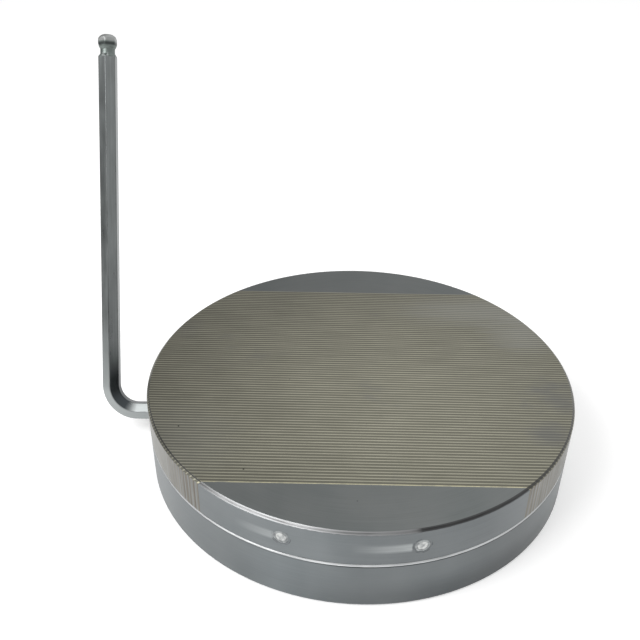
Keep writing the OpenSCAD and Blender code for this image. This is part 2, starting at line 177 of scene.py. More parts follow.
# Fine straight lines along X, as a surface grinder leaves them
def groundLines(tree, place, along, across):
    scaled = stretched(tree, place["x"], place["y"], place["z"], (along, across, across))
    return noise(tree, scaled, detail=4.0)


# Noise drawn out by its own factor along each of the object's axes
def drawnNoise(tree, place, factors, detail=3.0, roughness=0.5):
    scaled = stretched(tree, place["x"], place["y"], place["z"], factors)
    return noise(tree, scaled, detail=detail, roughness=roughness)


# 1 between low and high, 0 outside, with soft ends
def band(tree, value, low, high, soft):
    rise = remap(tree, value, low - soft, low + soft)
    fall = remap(tree, value, high - soft, high + soft, 1.0, 0.0)
    return calc(tree, "MULTIPLY", rise, fall)


# A new material with its principled shader; settings are constants on the shader's own sockets
def startMaterial(name, settings):
    material = bpy.data.materials.new(name)
    material.use_nodes = True
    tree = material.node_tree
    tree.nodes.clear()
    output = tree.nodes.new("ShaderNodeOutputMaterial")
    shader = add(tree, "ShaderNodeBsdfPrincipled", settings)
    tree.links.new(shader.outputs[0], output.inputs[0])
    return material, tree, shader


def finishMaterial(tree, shader, colour, roughness, height, depth, strength=0.6):
    values = {"Height": height, "Distance": depth, "Strength": strength}
    tree.links.new(colour, shader.inputs["Base Color"])
    tree.links.new(roughness, shader.inputs["Roughness"])
    tree.links.new(add(tree, "ShaderNodeBump", values).outputs[0], shader.inputs["Normal"])


metal = {"Metallic": 1.0, "IOR": 2.2}

wallLooks = {
    "cloudScale": 16.0,
    "ringScales": (30.0, 2600.0),  # along and across the turned rings
    "ringLevel": 0.16,
    "ringDepth": 0.02 * mm,
    "scuffScales": (60.0, 60.0, 900.0),
    "steel": (0.243, 0.262, 0.268),
    "cloudDark": (0.177, 0.196, 0.203),
    "ringLight": (0.30, 0.317, 0.325),
    # painted reflection: brightness of the seam's chamfer by the angle round the chuck
    "seamPaintedReflection": [(-180, 0.6), (-80, 0.75), (-50, 0.68), (-38, 0.45), (-30, 0.36), (-18, 0.36),
                 (-10, 0.84), (0, 1.0), (8, 0.70), (30, 0.66), (44, 0.58), (180, 0.6)],
    "seamTint": (1.0, 1.02, 1.03),
    "seamTop": 0.2 * mm,           # depths under the seam: the bright chamfer from here
    "seamFoot": 1.3 * mm,          # to here, and the dark line from here
    "darkLineFoot": 2.1 * mm,          # to here
    "seamSoft": 0.05 * mm,
    "darkLineSoft": 0.08 * mm,
    "faintLineAngles": (-16, -4),      # the dark line is faint left of these angles
    "footHigh": 19 * mm,           # painted shade: the foot darkens between these heights
    "footLow": 7 * mm,
    # painted shade: how much darker the foot is than the upper wall, by the angle round the chuck
    "paintedFootShade": [(-180, 0.1), (-60, 0.0), (-22, 0.05), (0, 0.13), (12, 0.24), (40, 0.28),
                 (56, 0.14), (180, 0.1)],
    # painted reflection of the surroundings: how bright the wall is, by the same angle
    "paintedReflection": [(-180, 0.70), (-90, 0.74), (-60, 0.80), (-30, 0.81), (-20, 1.0), (-10, 0.86),
               (0, 0.70), (20, 0.69), (30, 0.62), (40, 0.59), (50, 0.66), (60, 0.74), (75, 0.64),
               (180, 0.70)],
    "roughLow": 0.30,
    "roughHigh": 0.46,
}


# Turned steel of the base: cloudy tone, fine rings, a painted reflection by angle, painted shade
# darkening the foot, and a chamfer at the seam with a painted reflection and a dark line beneath it
def makeWallSteel():
    looks = wallLooks
    material, tree, shader = startMaterial("turnedBaseSteel", metal)
    place = placeOf(tree)
    angle, z = place["angle"], place["z"]
    clouds = noise(tree, place["point"], looks["cloudScale"], 3.0, 0.55)
    rings = turnedLines(tree, place, *looks["ringScales"])
    colour = mixColour(tree, remap(tree, clouds, *midRange), looks["cloudDark"], looks["steel"])
    shownRings = remap(tree, rings, *wideRange, 0.0, looks["ringLevel"])
    colour = mixColour(tree, shownRings, colour, looks["ringLight"])
    # painted reflection of the surroundings, by the angle round the chuck
    colour = multiplied(tree, colour, ramp(tree, angle, looks["paintedReflection"]))
    # painted shade darkening the foot near the floor, by the angle round the chuck
    foot = remap(tree, z, looks["footHigh"], looks["footLow"])
    foot = calc(tree, "MULTIPLY", foot, ramp(tree, angle, looks["paintedFootShade"]))
    colour = darken(tree, colour, foot)
    scuffs = drawnNoise(tree, place, looks["scuffScales"])
    seamFoot = seamZ - looks["seamFoot"]
    darkLine = band(tree, z, seamZ - looks["darkLineFoot"], seamFoot, looks["darkLineSoft"])
    darkLine = calc(tree, "MULTIPLY", darkLine, remap(tree, scuffs, 0.3, 0.55, 0.4, 0.75))
    darkLine = calc(tree, "MULTIPLY", darkLine, remap(tree, angle, *looks["faintLineAngles"], 0.3, 1.0))
    colour = darken(tree, colour, darkLine)
    seam = band(tree, z, seamFoot, seamZ - looks["seamTop"], looks["seamSoft"])
    # painted reflection on the seam's chamfer, darkened by real scuffs
    seamSheenAndScuffs = multiplied(tree, ramp(tree, angle, looks["seamPaintedReflection"]), looks["seamTint"])
    seamSheenAndScuffs = darken(tree, seamSheenAndScuffs, remap(tree, scuffs, 0.4, 0.7, 0.0, 0.3))
    colour = mixColour(tree, seam, colour, seamSheenAndScuffs)
    roughness = remap(tree, clouds, *wideRange, looks["roughLow"], looks["roughHigh"])
    finishMaterial(tree, shader, colour, roughness, rings, looks["ringDepth"], 0.5)
    return material


plateLooks = {
    "cloudScale": 22.0,
    "blotScale": 260.0,
    "ringScales": (30.0, 2600.0),  # along and across the turned rings
    "ringLevel": 0.12,
    "ringDepth": 0.02 * mm,
    "streakScales": (70.0, 70.0, 1200.0),
    "top": (0.178, 0.188, 0.185),
    "topDark": (0.145, 0.158, 0.156),
    "rearDarkening": 0.16,               # how much darker the rear segment is
    "nickScale": 95.0,
    "nickReach": (0.075, 0.055),   # a nick fades out and is full at these shares of its cell
    "wall": (0.207, 0.223, 0.229),
    "wallDark": (0.163, 0.179, 0.185),
    "darkLineHeight": 0.7 * mm,        # of the dark line just over the seam
    "darkLineSoft": 0.08 * mm,
    "chamferTint": (1.0, 1.01, 1.02),
    # painted reflection: brightness of the chamfer by the angle round the plate, bright at the
    # front left and dark at the front right
    "chamferPaintedReflection": [(-180, 0.16), (-46, 0.20), (-40, 0.20), (-34, 0.26), (-24, 0.26), (-18, 0.32),
                    (-12, 0.68), (-6, 0.56), (0, 0.39), (11, 0.27), (12.6, 0.085), (30, 0.085),
                    (42, 0.095), (52, 0.13), (180, 0.16)],
    # painted reflection of the surroundings: how bright the plate's wall is, by the angle round the
    # plate
    "paintedReflection": [(-180, 0.80), (-50, 0.88), (-40, 0.88), (-30, 0.97), (-10, 1.0), (0, 0.81),
               (10, 0.72), (20, 0.76), (30, 0.71), (40, 0.80), (50, 0.84), (180, 0.80)],
    "chamferFoot": 1.6 * mm,       # depths under the face: the chamfer's ragged foot
    "chamferRagged": 0.35 * mm,
    "chamferNarrower": 0.4 * mm,   # how much higher that foot is at the right, past these angles
    "narrowAngles": (30, 50),
    "chamferMiddle": (0.5 * mm, 1.1 * mm),  # the darker line along the chamfer, between two painted highlight lines at its edges
    "middleSoft": 0.12 * mm,
    "smearTone": (0.42, 0.44, 0.44),
    "smearUp": 2.3 * mm,           # height of the rubbed patches over and under the tie rods
    "smearDown": 2.6 * mm,
    "smearSoft": 0.8 * mm,
    # rubbed patches beside the tie rods: angles where each starts, is strongest and ends, and level
    "smears": [(-31.0, -20.9, -20.6, 0.55), (-3.0, 10.4, 10.8, 0.75)],
    "arcInside": 4.55 * mm,        # radii of the tool's arcs round each tie rod
    "arcOutside": 5.0 * mm,
    "arcSoft": 0.12 * mm,
}


# Bright patches rubbed along the wall as far as each tie rod's ring
def rubbedPatches(tree, place, streaks):
    looks = plateLooks
    low, high = rodZ - looks["smearDown"], rodZ + looks["smearUp"]
    across = band(tree, place["z"], low, high, looks["smearSoft"])
    total = 0.0
    for start, strongest, end, level in looks["smears"]:
        grown = remap(tree, place["angle"], start, strongest)
        ended = remap(tree, place["angle"], strongest, end, level, 0.0)
        total = calc(tree, "MULTIPLY_ADD", grown, ended, total)
    patches = calc(tree, "MULTIPLY", across, total)
    return calc(tree, "MULTIPLY", patches, remap(tree, streaks, 0.35, 0.6, 0.75, 1.0))


# Broken dark arcs cut round each tie rod by the tool that trimmed it
def toolArcs(tree, place, blots):
    looks = plateLooks
    total = 0.0
    for rodX in rodPlaces:
        sideways = calc(tree, "SUBTRACT", place["x"], rodX)
        upwards = calc(tree, "SUBTRACT", place["z"], rodZ)
        away = lengthOf(tree, sideways, upwards)
        arc = band(tree, away, looks["arcInside"], looks["arcOutside"], looks["arcSoft"])
        total = calc(tree, "ADD", total, arc)
    return calc(tree, "MULTIPLY", total, remap(tree, blots, 0.47, 0.56, 0.0, 0.45))


# Where the chamfer is: 1 from its ragged foot up to the face
def onChamfer(tree, place, blots):
    looks = plateLooks
    foot = calc(tree, "MULTIPLY_ADD", blots, looks["chamferRagged"], topZ - looks["chamferFoot"])
    higher = remap(tree, place["angle"], *looks["narrowAngles"], 0.0, looks["chamferNarrower"])
    over = calc(tree, "SUBTRACT", place["z"], calc(tree, "ADD", foot, higher))
    under = remap(tree, place["z"], topZ - 0.09 * mm, topZ - 0.03 * mm, 1.0, 0.0)
    return calc(tree, "MULTIPLY", remap(tree, over, -0.05 * mm, 0.05 * mm), under)


# Solid segments of the top plate: ground on top, turned on the wall, a chamfer with a painted
# reflection that is bright in part
def makePlateSteel():
    looks = plateLooks
    material, tree, shader = startMaterial("groundPlateSteel", metal)
    place = placeOf(tree)
    angle, z = place["angle"], place["z"]
    clouds = noise(tree, place["point"], looks["cloudScale"], 3.0, 0.55)
    blots = noise(tree, place["point"], looks["blotScale"], 2.0, 0.5)
    rings = turnedLines(tree, place, *looks["ringScales"])
    streaks = drawnNoise(tree, place, looks["streakScales"])
    amount = remap(tree, clouds, *midRange)
    topTone = mixColour(tree, amount, looks["topDark"], looks["top"])
    topTone = darken(tree, topTone, remap(tree, place["y"], 0.0, chordY, 0.0, looks["rearDarkening"]))
    cells = {"Vector": place["point"], "Scale": looks["nickScale"]}
    nicks = add(tree, "ShaderNodeTexVoronoi", cells).outputs["Distance"]
    nicks = calc(tree, "ADD", nicks, remap(tree, blots, *wideRange, 0.0, 0.05))
    topTone = darken(tree, topTone, remap(tree, nicks, *looks["nickReach"], 0.0, 0.55))
    wallTone = mixColour(tree, amount, looks["wallDark"], looks["wall"])
    # painted reflection of the surroundings, by the angle round the plate
    wallTone = multiplied(tree, wallTone, ramp(tree, angle, looks["paintedReflection"]))
    wallTone = mixColour(tree, rubbedPatches(tree, place, streaks), wallTone, looks["smearTone"])
    wallTone = darken(tree, wallTone, toolArcs(tree, place, blots))
    darkLine = band(tree, z, seamZ, seamZ + looks["darkLineHeight"], looks["darkLineSoft"])
    darkLine = calc(tree, "MULTIPLY", darkLine, remap(tree, streaks, 0.35, 0.6, 0.1, 0.5))
    wallTone = darken(tree, wallTone, darkLine)
    onTop = remap(tree, z, topZ - 0.1 * mm, topZ - 0.02 * mm)
    colour = mixColour(tree, onTop, wallTone, topTone)
    shownRings = remap(tree, rings, *wideRange, 0.0, looks["ringLevel"])
    colour = mixColour(tree, shownRings, colour, wallLooks["ringLight"])
    # painted reflection on the chamfer, with a darker middle between two painted highlight lines
    paintedChamferTone = multiplied(tree, ramp(tree, angle, looks["chamferPaintedReflection"]), looks["chamferTint"])
    high, low = looks["chamferMiddle"]
    middle = band(tree, z, topZ - low, topZ - high, looks["middleSoft"])
    middle = calc(tree, "MULTIPLY", middle, remap(tree, streaks, 0.35, 0.6, 0.15, 0.55))
    colour = mixColour(tree, onChamfer(tree, place, blots), colour, darken(tree, paintedChamferTone, middle))
    roughness = remap(tree, clouds, *wideRange, 0.28, 0.42)
    finishMaterial(tree, shader, colour, roughness, rings, looks["ringDepth"], 0.4)
    return material


laminationLooks = {
    "mottleScale": 26.0,
    "stripScales": (34.0, 455.0, 0.0),  # across Y, fine enough for each strip to differ
    "smudgeScales": (13.0, 22.0, 0.0),
    "lineScales": (60.0, 3000.0),  # along and across the ground lines
    "lineDepth": 0.02 * mm,
    "steel": (0.178, 0.175, 0.140),
    "steelDark": (0.137, 0.135, 0.107),
    "brass": (0.44, 0.425, 0.345),
    "brassDark": (0.28, 0.270, 0.215),
    "steelWall": (0.232, 0.237, 0.230),
    "brassWall": (0.215, 0.198, 0.162),
    "smudge": (0.150, 0.152, 0.150),
    "rubbed": (0.42, 0.43, 0.42),
    # grey smudges, then paler rubbed places: middle in x and y, half length along each, strength
    "smudges": [(0.102, -0.052, 0.014, 0.012, 0.6), (0.116, -0.024, 0.011, 0.012, 0.5),
                (-0.110, 0.046, 0.012, 0.012, 0.25)],
    "rubbedPlaces": [(0.084, 0.072, 0.060, 0.020, 0.27), (0.106, 0.046, 0.026, 0.024, 0.26),
                     (-0.098, -0.062, 0.034, 0.034, 0.12)],
    "wornPlace": (0.002, -0.032),  # middle of the most used, lighter part of the face
    "wornLighter": 0.22,
    "wornReach": (30 * mm, 130 * mm),
    "pitScale": 46.0,
    "pitReach": (0.030, 0.018),    # a pit fades out and is full at these shares of its cell
    "firstStrip": (0.62, 0.58, 0.40),   # the strip next to the front segment, worn bright
    "firstFrom": 0.7 * mm,
    "firstTo": 0.1 * mm,
    "gapScales": (75.0, 0.0, 0.0),
    "stain": (0.118, 0.104, 0.082),
    "streakScales": (1100.0, 1100.0, 16.0),
    "stainedFrom": 52 * mm,        # streaks grow between these distances from the middle, along Y
    "stainedTo": 86 * mm,
    "edgeDark": (0.075, 0.075, 0.073),
    # depth in millimetres of the dark rim, by the angle round the plate
    "rimFoot": [(-180, 0.8), (-90, 0.55), (-20, 0.55), (20, 1.25), (60, 1.0), (180, 0.8)],
    "roughLow": 0.34,
    "roughHigh": 0.5,
}


# Grey smudges and paler rubbed places, each an oval with an edge that the strips make ragged
def addSpots(tree, place, strips, colour):
    looks = laminationLooks
    spots = [(*spot, looks["smudge"]) for spot in looks["smudges"]]
    spots += [(*spot, looks["rubbed"]) for spot in looks["rubbedPlaces"]]
    for spotX, spotY, halfX, halfY, level, spotTone in spots:
        shareX = calc(tree, "DIVIDE", calc(tree, "SUBTRACT", place["x"], spotX), halfX)
        shareY = calc(tree, "DIVIDE", calc(tree, "SUBTRACT", place["y"], spotY), halfY)
        away = lengthOf(tree, shareX, shareY)
        away = calc(tree, "ADD", away, remap(tree, strips, *wideRange, -0.35, 0.35))
        colour = mixColour(tree, remap(tree, away, 1.1, 0.25, 0.0, level), colour, spotTone)
    return colour


# The face is lighter where it is used most, and darker with the distance from there
def addWear(tree, place, colour):
    looks = laminationLooks
    middleX, middleY = looks["wornPlace"]
    lighter = looks["wornLighter"]
    sideways = calc(tree, "SUBTRACT", place["x"], middleX)
    backwards = calc(tree, "SUBTRACT", place["y"], middleY)
    away = lengthOf(tree, sideways, backwards)
    colour = multiplied(tree, colour, (1 + lighter,) * 3)
    return darken(tree, colour, remap(tree, away, *looks["wornReach"], 0.0, lighter * 1.25))


# A few dark pits, and the bright strip next to the front segment
def addPits(tree, place, colour):
    looks = laminationLooks
    cells = {"Vector": place["point"], "Scale": looks["pitScale"], "Randomness": 1.0}
    pits = add(tree, "ShaderNodeTexVoronoi", cells).outputs["Distance"]
    colour = darken(tree, colour, remap(tree, pits, *looks["pitReach"], 0.0, 0.8))
    frontwards = calc(tree, "MULTIPLY", place["y"], -1.0)
    low, high = chordY - looks["firstFrom"], chordY + looks["firstTo"]
    first = band(tree, frontwards, low, high, 0.05 * mm)
    gaps = drawnNoise(tree, place, looks["gapScales"], 4.0, 0.7)
    first = calc(tree, "MULTIPLY", first, remap(tree, gaps, 0.40, 0.52, 0.0, 0.75))
    return mixColour(tree, first, colour, looks["firstStrip"])


# The wall's own tone with brown streaks that grow towards the segments
def stainedWall(tree, place, wallTone):
    looks = laminationLooks
    streaks = drawnNoise(tree, place, looks["streakScales"])
    fromMiddle = calc(tree, "ABSOLUTE", place["y"])
    growth = remap(tree, fromMiddle, looks["stainedFrom"], looks["stainedTo"], 0.12, 0.95)
    stained = calc(tree, "MULTIPLY", remap(tree, streaks, 0.42, 0.62), growth)
    return mixColour(tree, stained, wallTone, looks["stain"])


# One of the two lamination metals: ground lines along X, a tone of its own for each strip, mottled
# wear, spots and pits on the face, streaks on the wall, and a dark rim between them
def makeLamination(name, tone, darkTone, wallTone):
    looks = laminationLooks
    material, tree, shader = startMaterial(name, metal)
    place = placeOf(tree)
    z = place["z"]
    mottle = noise(tree, place["point"], looks["mottleScale"], 4.0, 0.6)
    strips = drawnNoise(tree, place, looks["stripScales"], 3.0, 0.6)
    lines = groundLines(tree, place, *looks["lineScales"])
    amount = calc(tree, "MULTIPLY_ADD", remap(tree, mottle, *wideRange), 0.45,
                  remap(tree, strips, 0.32, 0.68, 0.0, 0.55))
    colour = mixColour(tree, amount, darkTone, tone)
    smudges = drawnNoise(tree, place, looks["smudgeScales"], 4.0, 0.65)
    colour = mixColour(tree, remap(tree, smudges, 0.60, 0.72, 0.0, 0.5), colour, looks["smudge"])
    colour = addSpots(tree, place, strips, colour)
    colour = addWear(tree, place, colour)
    colour = addPits(tree, place, colour)
    onWall = remap(tree, z, topZ - 1.2 * mm, topZ - 1.6 * mm)
    colour = mixColour(tree, onWall, colour, stainedWall(tree, place, wallTone))
    rimFoot = calc(tree, "MULTIPLY_ADD", ramp(tree, place["angle"], looks["rimFoot"]), -mm, topZ)
    overFoot = remap(tree, calc(tree, "SUBTRACT", z, rimFoot), -0.05 * mm, 0.05 * mm)
    underFace = remap(tree, z, topZ - 0.06 * mm, topZ - 0.02 * mm, 1.0, 0.0)
    rim = calc(tree, "MULTIPLY", overFoot, underFace)
    rim = calc(tree, "MULTIPLY", rim, remap(tree, strips, 0.3, 0.6, 0.7, 1.0))
    colour = mixColour(tree, rim, colour, looks["edgeDark"])
    roughness = remap(tree, mottle, *wideRange, looks["roughLow"], looks["roughHigh"])
    finishMaterial(tree, shader, colour, roughness, lines, looks["lineDepth"], 0.4)
    return material


# Plain machined metal for the inner pieces and fasteners
def makeMachined(name, tone, darkTone, roughLow, roughHigh, metallic=1.0):
    material, tree, shader = startMaterial(name, {"Metallic": metallic, "IOR": 1.6})
    place = placeOf(tree)
    clouds = noise(tree, place["point"], 60.0, 4.0, 0.6)
    rings = turnedLines(tree, place, 60.0, 3000.0)
    colour = mixColour(tree, remap(tree, clouds, *wideRange), darkTone, tone)
    roughness = remap(tree, clouds, *wideRange, roughLow, roughHigh)
    finishMaterial(tree, shader, colour, roughness, rings, 0.015 * mm, 0.4)
    return material


# A mesh from a grid of points, rows by columns, closed round each row. Caps close the two ends, or
# with ring=True the last row joins the first. The faces are turned over if the volume is negative.
def surfaceMesh(name, points, wrapU=None, wrapV=None, ring=False):
    rows, columns = points.shape[:2]
    corner = np.arange(rows * columns).reshape(rows, columns)
    if ring:
        corner = np.concatenate([corner, corner[:1]])
    nextColumn = np.roll(corner, -1, axis=1)
    faces = np.stack([corner[:-1], nextColumn[:-1], nextColumn[1:], corner[1:]], axis=-1)
    faces = faces.reshape(-1, 4)
    vertices = points.reshape(-1, 3)
    caps = np.zeros((0, 3), dtype=int)
    if not ring:
        ends = np.array([rows * columns, rows * columns + 1])
        firstCap = np.stack([nextColumn[0], corner[0], np.full(columns, ends[0])], axis=-1)
        lastCap = np.stack([corner[-1], nextColumn[-1], np.full(columns, ends[1])], axis=-1)
        caps = np.concatenate([firstCap, lastCap])
        vertices = np.concatenate([vertices, [points[0].mean(axis=0), points[-1].mean(axis=0)]])
    triangles = np.concatenate([faces[:, [0, 1, 2]], faces[:, [0, 2, 3]], caps])
    first, second, third = (vertices[triangles[:, place]] for place in range(3))
    if np.einsum("ij,ij->", first, np.cross(second, third)) < 0:
        faces, caps = faces[:, ::-1], caps[:, ::-1]
    mesh = bpy.data.meshes.new(name)
    mesh.from_pydata(vertices.tolist(), [], faces.tolist() + caps.tolist())
    if wrapU is not None:
        across = np.broadcast_to(wrapU, (rows, columns)).ravel()
        along = np.broadcast_to(wrapV[:, None], (rows, columns)).ravel()
        across = np.concatenate([across, [0.0, 0.0]])
        along = np.concatenate([along, wrapV[[0, -1]]])
        loops = np.zeros(len(mesh.loops), dtype=np.int32)
        mesh.loops.foreach_get("vertex_index", loops)
        pairs = np.stack([across[loops], along[loops]], axis=-1).astype(np.float32)
        layer = mesh.uv_layers.new(name="wrap")
        layer.data.foreach_set("uv", pairs.ravel())
    mesh.polygons.foreach_set("use_smooth", [True] * len(mesh.polygons))
    mesh.update()
    return mesh


def addPiece(name, mesh, material, body):
    piece = bpy.data.objects.new(name, mesh)
    scene.collection.objects.link(piece)
    piece.data.materials.append(material)
    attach(piece, body)
    return piece


keyShape = {
    "acrossFlats": 10.0 * mm,
    "lean": math.radians(26.5),   # of the long arm from upright, towards +Y
    "length": 232.8 * mm,
    "bend": 16.5 * mm,
    "edgeRound": 0.6 * mm,
    "tip": 0.66,                  # height of the flat tip over the widest place, in ball radii
    "domeHeight": 0.74,           # of the whole dome over that place, were it not cut flat
    "underside": 1.19,            # how much longer than a sphere the ball is below that place
    "neck": 0.745,                # radius of the neck, in ball radii
    "neckDrop": 7.1 * mm,         # the straight neck ends this far under the ball's widest place
    "neckEnd": 9.9 * mm,          # and the full hexagon begins here
    "neckFlare": 0.3 * mm,        # by how much the cut outgrows the corners there
    "neckArch": 0.9 * mm,         # height of the arch that the neck's cut leaves on each flat
    "endBevel": 0.8 * mm,
    "tipRound": 0.25 * mm,
    "tipCurve": 6000,             # how sharply the cut closes in there, by the square of the way
    "drawnScales": (700.0, 12.0, 1.0),
    "blotScales": (200.0, 38.0, 1.0),
    "lineDepth": 0.01 * mm,
    "tone": (0.262, 0.280, 0.280),
    "toneDark": (0.205, 0.218, 0.218),
    "rubbedTone": (0.35, 0.37, 0.37),    # outside of the bend and the short arm, rubbed by the hand
    # painted sheen on the top of the ball
    "ballTopSheen": (0.36, 0.37, 0.365),
    "bendPaintedShade": (0.045, 0.052, 0.058),   # painted shade on the inner sides of the bend
    "rubbedLength": 45 * mm,             # of the long arm, over the bend
    "bendShadeLength": (4 * mm, 28 * mm),    # the painted shade fades out between these places over the bend
    "bandTone": (0.05, 0.055, 0.055),    # dark turned band under the ball's widest place
    "bandFrom": 1.0 * mm,
    "bandTo": 2.6 * mm,
    "neckTone": (0.17, 0.195, 0.185),
    "neckPaintedHighlight": (0.36, 0.385, 0.38),    # painted highlight at the foot of the neck
    "highlightFrom": 7.2 * mm,
    "highlightTo": 9.2 * mm,
    "drawnTone": (0.34, 0.36, 0.36),     # lines left by drawing the bar
}


# Lengths along the middle of the key, from the end of the short arm
def keyRuns():
    shape = keyShape
    flats, bend = shape["acrossFlats"], shape["bend"]
    ball = flats / 2 / math.cos(math.radians(30))
    shortArm = keyHigh.x - keyLow.x - flats / 2 - bend
    bendLength = bend * math.pi / 2
    tip = shortArm + bendLength + shape["length"] - flats / 2 - bend
    return {"ball": ball, "shortArm": shortArm, "bendLength": bendLength, "tip": tip,
            "centre": tip - shape["tip"] * ball}


# Places on the key's surface: u round the outline and v along it, in metres. Each of the six sides
# is a flat and then a corner. Also where the inner flats are, and the flat that faces forward.
def keyPlace(tree, outlineLength):
    uv = add(tree, "ShaderNodeUVMap", uv_map="wrap").outputs[0]
    u, v, _ = add(tree, "ShaderNodeSeparateXYZ", {0: uv}).outputs
    side = outlineLength / 6
    flat = side - keyShape["edgeRound"] * math.pi / 3
    inSide = calc(tree, "MULTIPLY", calc(tree, "FRACT", calc(tree, "DIVIDE", u, side)), side)
    lastCorner = 5.0 * side - 0.6 * mm
    return {"u": u, "v": v, "side": side, "flat": flat, "inSide": inSide,
            "below": calc(tree, "SUBTRACT", keyRuns()["centre"], v),
            "inner": band(tree, u, 2.0 * side, lastCorner, 0.15 * mm),
            "front": band(tree, u, 4.0 * side - 0.3 * mm, lastCorner, 0.15 * mm)}


# The hand rubs the outside of the bend and the front of the short arm; the inner flats of the bend
# get a painted shade
def rubbedAndShadedKey(tree, place, colour):
    shape, runs = keyShape, keyRuns()
    v, inner, front = place["v"], place["inner"], place["front"]
    bendStart = runs["shortArm"] + 0.2 * runs["bendLength"]
    bendEnd = runs["shortArm"] + runs["bendLength"]
    outside = calc(tree, "SUBTRACT", 1.0, inner)
    fade = remap(tree, v, bendEnd - 2 * mm, bendEnd + shape["rubbedLength"], 0.75, 0.0)
    rubbed = calc(tree, "MULTIPLY", fade, outside)
    onArm = remap(tree, v, bendStart - 3 * mm, bendStart + 2 * mm, 1.0, 0.0)
    rubbed = calc(tree, "MAXIMUM", rubbed, calc(tree, "MULTIPLY", onArm, front))
    colour = mixColour(tree, rubbed, colour, shape["rubbedTone"])
    # painted shade on the inner flats of the bend
    rise = calc(tree, "MAXIMUM", remap(tree, v, bendStart - 2 * mm, bendStart + 3 * mm),
                calc(tree, "SUBTRACT", 1.0, front))
    near, far = shape["bendShadeLength"]
    fall = remap(tree, v, bendEnd + near, bendEnd + far, 1.0, 0.0)
    scale = calc(tree, "MULTIPLY", calc(tree, "MULTIPLY", rise, fall), inner)
    return mixColour(tree, calc(tree, "MULTIPLY", scale, 0.92), colour, shape["bendPaintedShade"])


# Where the neck is: its foot arches up in the middle of each flat, by the square of the distance
# from that middle
def onNeck(tree, place):
    shape = keyShape
    offset = calc(tree, "SUBTRACT", place["inSide"], place["flat"] / 2)
    share = calc(tree, "DIVIDE", offset, place["side"] / 2)
    squared = calc(tree, "MULTIPLY", share, share)
    arch = calc(tree, "MULTIPLY_ADD", squared, shape["neckArch"], place["below"])
    return band(tree, arch, -9 * mm, shape["neckEnd"] - 0.5 * mm, 0.25 * mm)


# Tones of the neck and ball, with the dark turned band, a painted sheen on the ball's top and a
# painted highlight at the neck's foot on the two front flats
def turnedEnd(tree, place, neck, colour):
    shape, below, u, side = keyShape, place["below"], place["u"], place["side"]
    colour = mixColour(tree, neck, colour, shape["neckTone"])
    # painted sheen on the top of the ball
    colour = mixColour(tree, remap(tree, below, 0.8 * mm, -0.2 * mm), colour, shape["ballTopSheen"])
    dark = band(tree, below, shape["bandFrom"], shape["bandTo"], 0.35 * mm)
    colour = mixColour(tree, calc(tree, "MULTIPLY", dark, 0.85), colour, shape["bandTone"])
    # painted highlight at the foot of the neck, on the two front flats
    neckHighlight = band(tree, below, shape["highlightFrom"], shape["highlightTo"], 0.5 * mm)
    highlightSide = calc(tree, "ADD", band(tree, u, 4.62 * side, 4.78 * side, 0.2 * mm),
                     band(tree, u, 5.08 * side, 5.45 * side, 0.5 * mm))
    return mixColour(tree, calc(tree, "MULTIPLY", neckHighlight, highlightSide), colour, shape["neckPaintedHighlight"])


# Drawn steel with a satin finish, with painted shade along the corners to dim their highlight
def makeKeySteel(outlineLength):
    shape = keyShape
    material, tree, shader = startMaterial("satinKeySteel", metal)
    place = keyPlace(tree, outlineLength)
    u, v, side = place["u"], place["v"], place["side"]
    drawn = noise(tree, stretched(tree, u, v, 0.0, shape["drawnScales"]), detail=3.0)
    blots = noise(tree, stretched(tree, u, v, 0.0, shape["blotScales"]), detail=3.0)
    colour = mixColour(tree, remap(tree, blots, *wideRange), shape["toneDark"], shape["tone"])
    colour = mixColour(tree, remap(tree, drawn, 0.5, 0.7, 0.0, 0.3), colour, shape["drawnTone"])
    # painted shade along the rounded corners, dimming their highlight
    cornerShade = band(tree, place["inSide"], place["flat"] + 0.1 * mm, side - 0.1 * mm, 0.12 * mm)
    colour = darken(tree, colour, calc(tree, "MULTIPLY", cornerShade, 0.45))
    colour = rubbedAndShadedKey(tree, place, colour)
    neck = onNeck(tree, place)
    colour = turnedEnd(tree, place, neck, colour)
    drawnRoughness = remap(tree, blots, *wideRange, 0.26, 0.38)
    roughness = calc(tree, "MULTIPLY_ADD", neck, 0.12, drawnRoughness)
    finishMaterial(tree, shader, colour, roughness, drawn, shape["lineDepth"], 0.4)
    return material


# Outline of a hexagon with rounded corners. Each side is a run along the flat, then an arc round
# the corner; flats face the first axis, corners the second.
def roundedHexagon(acrossFlats, rounding):
    apothem = acrossFlats / 2
    half = (apothem - rounding) * math.tan(math.radians(30))
    steps = np.array([-0.999, -0.93, -0.5, 0.0, 0.5, 0.93, 0.999]) * half
    flat = np.stack([np.full_like(steps, apothem), steps], axis=-1)
    turn = np.radians(np.array([10.0, 20.0, 30.0, 40.0, 50.0]))
    arcX = apothem - rounding + rounding * np.cos(turn)
    arc = np.stack([arcX, half + rounding * np.sin(turn)], axis=-1)
    side = np.concatenate([flat, arc])
    turns = np.radians(60.0) * np.arange(6)
    cosine, sine = np.cos(turns)[:, None], np.sin(turns)[:, None]
    first = side[:, 0] * cosine - side[:, 1] * sine
    second = side[:, 0] * sine + side[:, 1] * cosine
    return np.stack([first.ravel(), second.ravel()], axis=-1)


